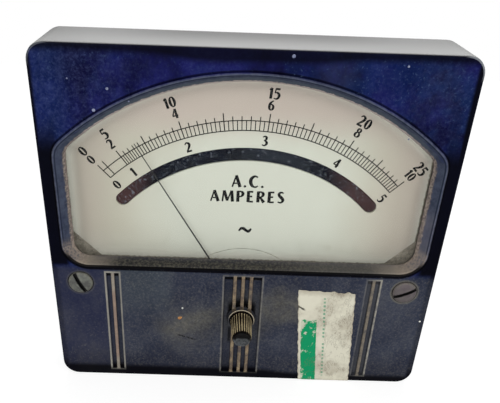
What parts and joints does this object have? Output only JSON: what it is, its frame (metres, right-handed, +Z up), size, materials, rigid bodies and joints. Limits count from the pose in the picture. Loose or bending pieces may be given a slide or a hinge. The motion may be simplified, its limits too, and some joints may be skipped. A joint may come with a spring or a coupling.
{
  "type": "ammeter",
  "caption": "Flush panel ammeter with a moulded dark case, arched window over a mirror scale, pointer, zero knob, fluted lower face, rear barrel and stud terminals.",
  "frame": {"origin": "middle of the case outline, in the plane where the case seats on its panel", "axes": "the face looks along -Y, +Y goes through the panel, +Z is up and +X is to the right of a reader facing the dial"},
  "size_m": [0.15, 0.1127, 0.1396],
  "materials": {
    "navy_moulding": "worn satin moulding",
    "knob_moulding": "worn satin moulding",
    "base_moulding": "matte moulding",
    "window_glass": "clear",
    "retainer_steel": "dark enamel",
    "screw_steel": "dulled by age",
    "plated_steel": "plated",
    "dial_paint": "matte, yellowed",
    "mirror": "speckled silvering",
    "brass": "turned",
    "aluminium": "mill",
    "coil_former": "varnished fibre",
    "copper": "enamelled wire",
    "soft_iron": "sheet",
    "nickel": "nickel plated",
    "spring_bronze": "rolled strip",
    "spindle_steel": "polished",
    "pointer_black": "matte black"
  },
  "bodies": {
    "case": {"front_cover": "navy_moulding", "window_glass": "window_glass", "glass_retainer": "retainer_steel", "retainer_screw_left": "plated_steel", "retainer_screw_right": "plated_steel", "rear_base": "base_moulding", "cover_screw_left": "screw_steel", "cover_screw_right": "screw_steel", "dial_plate": "dial_paint", "dial_mirror": "mirror", "dial_apron": "dial_paint", "dial_screw_left": "brass", "dial_screw_right": "brass", "pointer_stop_left": "brass", "pointer_stop_right": "brass", "movement_carrier": "aluminium", "carrier_screw_left": "plated_steel", "carrier_screw_right": "plated_steel", "coil_bobbin": "coil_former", "coil_winding": "copper", "fixed_vane": "soft_iron", "rear_bridge": "nickel", "coil_screw_left": "plated_steel", "coil_screw_right": "plated_steel", "front_bridge": "nickel", "bridge_screw_left": "plated_steel", "bridge_screw_right": "plated_steel", "jewel_screw_front": "brass", "jewel_screw_rear": "brass", "jewel_nut": "brass", "damping_chamber": "base_moulding", "damping_cover": "aluminium", "terminal_stud_left": "brass", "terminal_stud_right": "brass", "terminal_washer_left": "brass", "terminal_washer_right": "brass", "terminal_nut_left": "brass", "terminal_nut_right": "brass", "coil_lead_left": "copper", "coil_lead_right": "copper", "mounting_upper_left_stud": "plated_steel", "mounting_upper_left_nut": "plated_steel", "mounting_upper_right_stud": "plated_steel", "mounting_upper_right_nut": "plated_steel", "mounting_lower_left_stud": "plated_steel", "mounting_lower_left_nut": "plated_steel", "mounting_lower_right_stud": "plated_steel", "mounting_lower_right_nut": "plated_steel"},
    "zero_knob": {"zero_adjust_knob": "knob_moulding", "zero_crank": "brass"},
    "zero_arm": {"zero_arm": "brass", "hairspring": "spring_bronze"},
    "pointer_assembly": {"spindle": "spindle_steel", "pointer": "pointer_black", "moving_vane": "soft_iron", "damping_vane": "aluminium", "balance_arms": "brass"}
  },
  "joints": [
    {"name": "zero_knob_turn", "type": "hinge", "parent": "case", "child": "zero_knob", "pos_m": [0, 0, -0.038], "axis": [0, 1, 0], "range_deg": [-5, 5]},
    {"name": "zero_arm_turn", "type": "hinge", "parent": "case", "child": "zero_arm", "pos_m": [0, 0, -0.038], "axis": [0, 1, 0], "range_deg": [-5, 5]},
    {"name": "pointer_swing", "type": "hinge", "parent": "case", "child": "pointer_assembly", "pos_m": [0, 0, -0.038], "axis": [0, 1, 0], "range_deg": [-17.05, 81.2]}
  ],
  "couplings": [
    {"joint": "zero_arm_turn", "follows": "zero_knob_turn", "ratio": 1}
  ]
}
